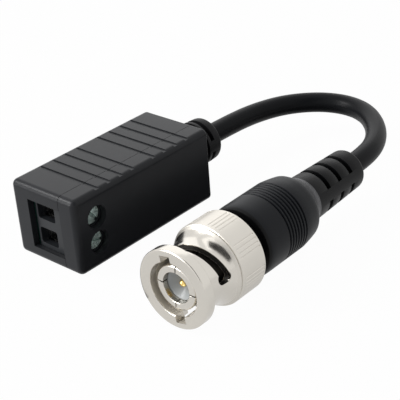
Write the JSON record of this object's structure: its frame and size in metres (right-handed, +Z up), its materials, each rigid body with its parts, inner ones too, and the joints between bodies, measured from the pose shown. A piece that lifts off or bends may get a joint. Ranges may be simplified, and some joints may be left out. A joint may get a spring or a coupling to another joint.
{
  "type": "video balun",
  "caption": "Inline video adapter: a grooved plastic case with a clamp-screw wire terminal and a short coaxial lead that ends in a booted bayonet plug.",
  "frame": {"origin": "middle of the case's underside", "axes": "+X along the case from the wire terminal end to the cable end, -Y the side with the screw holes, +Z up"},
  "size_m": [0.0772, 0.0477, 0.015],
  "materials": {
    "case_plastic": "fine satin grain",
    "terminal_plastic": "moulded satin",
    "clamp_metal": "bright plated",
    "screw_metal": "blue zinc plate",
    "board_laminate": "satin solder mask",
    "ferrite": "matte",
    "line_wire": "enamelled copper",
    "coax_wire": "enamelled copper",
    "diode_case": "gloss",
    "gland_rubber": "satin",
    "cable_jacket": "satin",
    "wire_insulation": "milky",
    "braid_metal": "twisted tinned strands",
    "nickel": "polished nickel plate",
    "spring_steel": "bright",
    "gasket_rubber": "matte",
    "insulator_plastic": "waxy",
    "gilt_brass": "polished gilt",
    "boot_rubber": "satin"
  },
  "bodies": {
    "balun": {"braid_tail": "braid_metal", "cable_gland": "gland_rubber", "case_cover": "case_plastic", "case_shell": "case_plastic", "centre_pin": "gilt_brass", "circuit_board": "board_laminate", "coax_cable": "cable_jacket", "coax_case_end": "cable_jacket", "coax_plug_end": "cable_jacket", "core_wire": "wire_insulation", "crimp_ferrule": "nickel", "ferrite_core": "ferrite", "front_gasket": "gasket_rubber", "outer_contact": "nickel", "plug_body": "nickel", "plug_boot": "boot_rubber", "plug_core": "wire_insulation", "plug_insulator": "insulator_plastic", "surge_diode_1": "diode_case", "surge_diode_2": "diode_case", "terminal_contact_1": "clamp_metal", "terminal_contact_2": "clamp_metal", "terminal_housing": "terminal_plastic", "wave_washer": "spring_steel", "winding_coax": "coax_wire", "winding_line": "line_wire"},
    "clamp_screw_1": {"terminal_screw_1": "screw_metal"},
    "clamp_screw_2": {"terminal_screw_2": "screw_metal"},
    "clamp_cage_1": {"terminal_cage_1": "clamp_metal"},
    "clamp_cage_2": {"terminal_cage_2": "clamp_metal"},
    "nut_carrier": {"retaining_ring": "spring_steel", "thrust_washer": "spring_steel"},
    "nut": {"coupling_nut": "nickel"}
  },
  "joints": [
    {"name": "screw_turn_1", "type": "hinge", "parent": "balun", "child": "clamp_screw_1", "pos_m": [-0.0124, -0.00585, 0.01004], "axis": [0, 1, 0], "range_deg": [0, 1944.6]},
    {"name": "screw_turn_2", "type": "hinge", "parent": "balun", "child": "clamp_screw_2", "pos_m": [-0.0124, -0.00585, 0.00496], "axis": [0, 1, 0], "range_deg": [0, 1944.6]},
    {"name": "cage_rise_1", "type": "slide", "parent": "balun", "child": "clamp_cage_1", "axis": [0, -1, 0], "range_m": [0, 0.0027]},
    {"name": "cage_rise_2", "type": "slide", "parent": "balun", "child": "clamp_cage_2", "axis": [0, -1, 0], "range_m": [0, 0.0027]},
    {"name": "nut_slide", "type": "slide", "parent": "balun", "child": "nut_carrier", "axis": [-0.9998, -0.0218, 0], "range_m": [0, 0.0008], "stiffness_N_per_m": 5000, "springref_m": -0.0005},
    {"name": "nut_spin", "type": "hinge", "parent": "nut_carrier", "child": "nut", "pos_m": [-0.0044, -0.03187, 0.0075], "axis": [0.9998, 0.0218, 0], "continuous": true}
  ],
  "couplings": [
    {"joint": "screw_turn_1", "follows": "cage_rise_1", "rad_per_m": 12566},
    {"joint": "screw_turn_2", "follows": "cage_rise_2", "rad_per_m": 12566}
  ]
}
